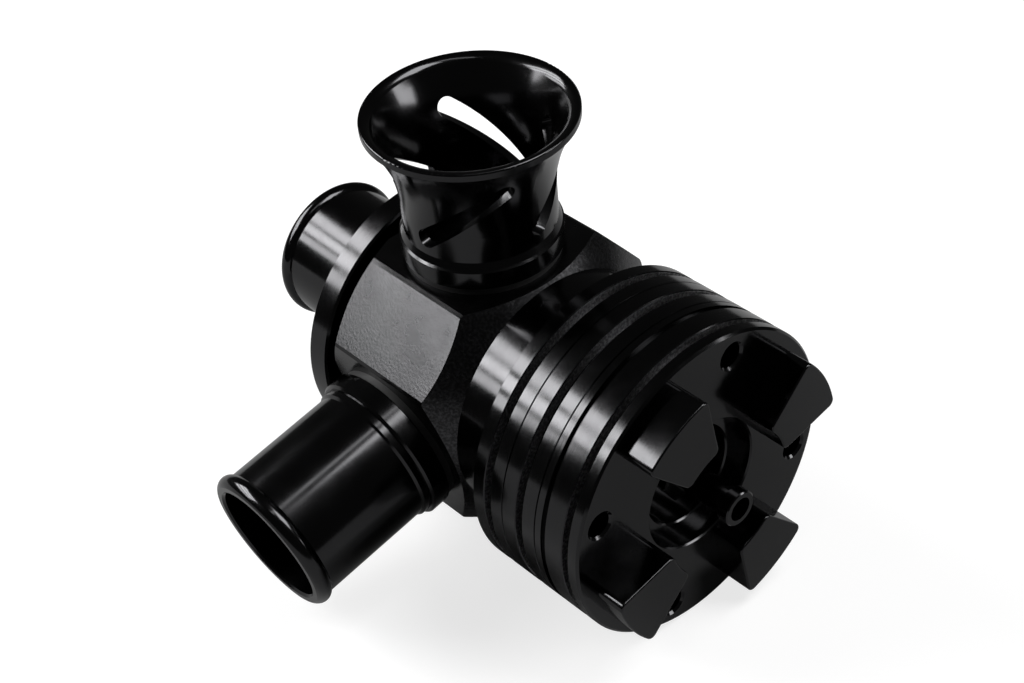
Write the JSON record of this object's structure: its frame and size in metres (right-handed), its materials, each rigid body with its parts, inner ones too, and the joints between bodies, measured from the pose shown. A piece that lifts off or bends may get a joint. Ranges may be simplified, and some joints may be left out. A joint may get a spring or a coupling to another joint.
{
  "type": "blow off valve",
  "caption": "Piston-type turbo blow off valve with a rear inlet spigot, a side hose spigot, a flared slotted vent trumpet, a grooved barrel and a castellated end cap.",
  "frame": {"origin": "on the piston axis where the inlet hose stops against the inlet spigot's flange, so the centre of the flange's rear face", "axes": "+X along the piston axis from the inlet spigot to the end cap, +Z along the vent trumpet's axis towards its mouth; the side spigot points along -Y, turned 10 degrees down towards -Z"},
  "size_m": [0.1021, 0.0816, 0.0773],
  "materials": {
    "black_anodised": "satin black anodised",
    "plain_aluminium": "turned",
    "black_rubber": "matte",
    "white_slide_plastic": "smooth",
    "steel": "bright zinc"
  },
  "bodies": {
    "housing": {"valve_body": "black_anodised", "end_cap": "black_anodised", "cap_seal": "black_rubber", "vacuum_nipple": "black_anodised", "nipple_seal": "black_rubber", "inlet_spigot": "black_anodised", "inlet_seal": "black_rubber", "side_spigot": "black_anodised", "side_spigot_seal": "black_rubber", "vent_trumpet": "black_anodised", "trumpet_seal": "black_rubber", "main_spring": "steel", "spring_seat": "plain_aluminium", "preload_shim_1": "steel", "preload_shim_2": "steel"},
    "piston_set": {"piston": "plain_aluminium", "piston_front_seal": "black_rubber", "piston_rear_seal": "black_rubber", "piston_guide_ring": "white_slide_plastic", "nose_seal": "black_rubber", "nose_washer": "steel", "nose_screw": "steel"}
  },
  "joints": [
    {"name": "piston_slide", "type": "slide", "parent": "housing", "child": "piston_set", "axis": [1, 0, 0], "range_m": [0, 0.012], "stiffness_N_per_m": 2300, "springref_m": -0.01, "deforming": ["main_spring"]}
  ]
}
